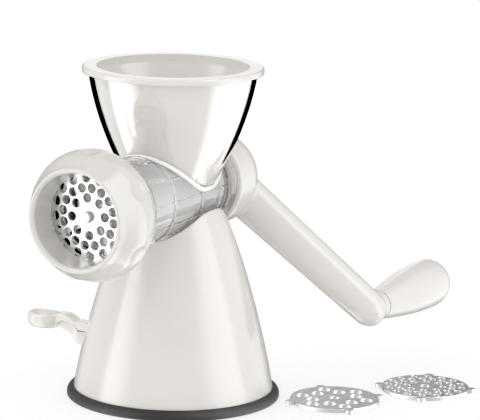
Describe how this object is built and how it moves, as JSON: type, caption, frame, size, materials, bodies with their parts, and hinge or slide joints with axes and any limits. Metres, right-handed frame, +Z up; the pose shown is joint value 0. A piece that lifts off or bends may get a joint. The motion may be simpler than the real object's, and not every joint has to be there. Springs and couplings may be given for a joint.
{
  "type": "meat grinder",
  "caption": "Hand-cranked meat grinder: clear ribbed barrel with an auger, a blade and a perforated disc, funnel hopper, ring nut and crank, on a suction foot with a lever.",
  "frame": {"origin": "centre of the foot, on the plane that the foot ring stands on", "axes": "+Z up, the outlet faces -Y, the crank is at +Y, the suction lever points to -X"},
  "size_m": [0.2599, 0.2919, 0.2035],
  "materials": {
    "white_plastic": "glossy warm off-white moulding",
    "clear_plastic": "clear moulding, polished",
    "steel": "stainless steel with a straight grain",
    "black_rubber": "matt black"
  },
  "bodies": {
    "base": {"foot_ring": "black_rubber", "base_cone": "white_plastic", "base_plate": "white_plastic", "base_screws": "steel", "lever_pin": "steel", "bar_pin": "steel", "barrel": "clear_plastic", "barrel_screws": "steel", "rear_bush": "white_plastic", "shaft_seal": "black_rubber", "thrust_washer": "steel"},
    "pad": {"suction_pad": "black_rubber", "pad_stem": "white_plastic", "stem_pin": "steel"},
    "bar": {"lift_bar": "steel"},
    "lever": {"suction_lever": "white_plastic"},
    "funnel": {"hopper_funnel": "white_plastic"},
    "cutting_disc": {"front_disc": "steel"},
    "nut": {"ring_nut": "white_plastic"},
    "crank": {"crank_arm": "white_plastic", "crank_screw": "steel", "crank_washer": "steel", "grip_pin": "steel", "grip_clip": "steel", "drive_shaft": "steel", "auger_screw": "white_plastic", "cross_blade": "steel"},
    "grip": {"hand_grip": "white_plastic", "grip_cap": "white_plastic"},
    "spare_coarse": {"coarse_disc": "steel"},
    "spare_medium": {"medium_disc": "steel"}
  },
  "joints": [
    {"name": "crank_turn", "type": "hinge", "parent": "base", "child": "crank", "pos_m": [0, 0, 0.128], "axis": [0, -1, 0], "continuous": true},
    {"name": "grip_spin", "type": "hinge", "parent": "crank", "child": "grip", "pos_m": [0.094, 0.1, 0.05023], "axis": [0, 1, 0], "continuous": true},
    {"name": "nut_turn", "type": "hinge", "parent": "cutting_disc", "child": "nut", "pos_m": [0, -0.1, 0.128], "axis": [0, -1, 0], "range_deg": [0, 720]},
    {"name": "disc_travel", "type": "slide", "parent": "base", "child": "cutting_disc", "axis": [0, -1, 0], "range_m": [0, 0.0101]},
    {"name": "lever_lift", "type": "hinge", "parent": "base", "child": "lever", "pos_m": [-0.04802, 0, 0.0355], "axis": [0, 1, 0], "range_deg": [0, 32]},
    {"name": "bar_rock", "type": "hinge", "parent": "base", "child": "bar", "pos_m": [0.04202, 0, 0.03668], "axis": [0, -1, 0], "range_deg": [0, 3.5]},
    {"name": "pad_slide", "type": "slide", "parent": "base", "child": "pad", "axis": [0, 0, -1], "range_m": [0, 0.0026]},
    {"name": "funnel_lift", "type": "slide", "parent": "base", "child": "funnel", "axis": [0, 0, 1], "range_m": [0, 0.06]},
    {"name": "coarse_lift", "type": "slide", "parent": "base", "child": "spare_coarse", "axis": [0, 0, 1], "range_m": [0, 0.02]},
    {"name": "medium_lift", "type": "slide", "parent": "base", "child": "spare_medium", "axis": [0, 0, 1], "range_m": [0, 0.02]}
  ],
  "couplings": [
    {"joint": "disc_travel", "follows": "nut_turn", "m_per_rad": 0.00079577},
    {"joint": "bar_rock", "follows": "lever_lift", "ratio": 0.10636},
    {"joint": "pad_slide", "follows": "lever_lift", "m_per_rad": 0.004475}
  ]
}
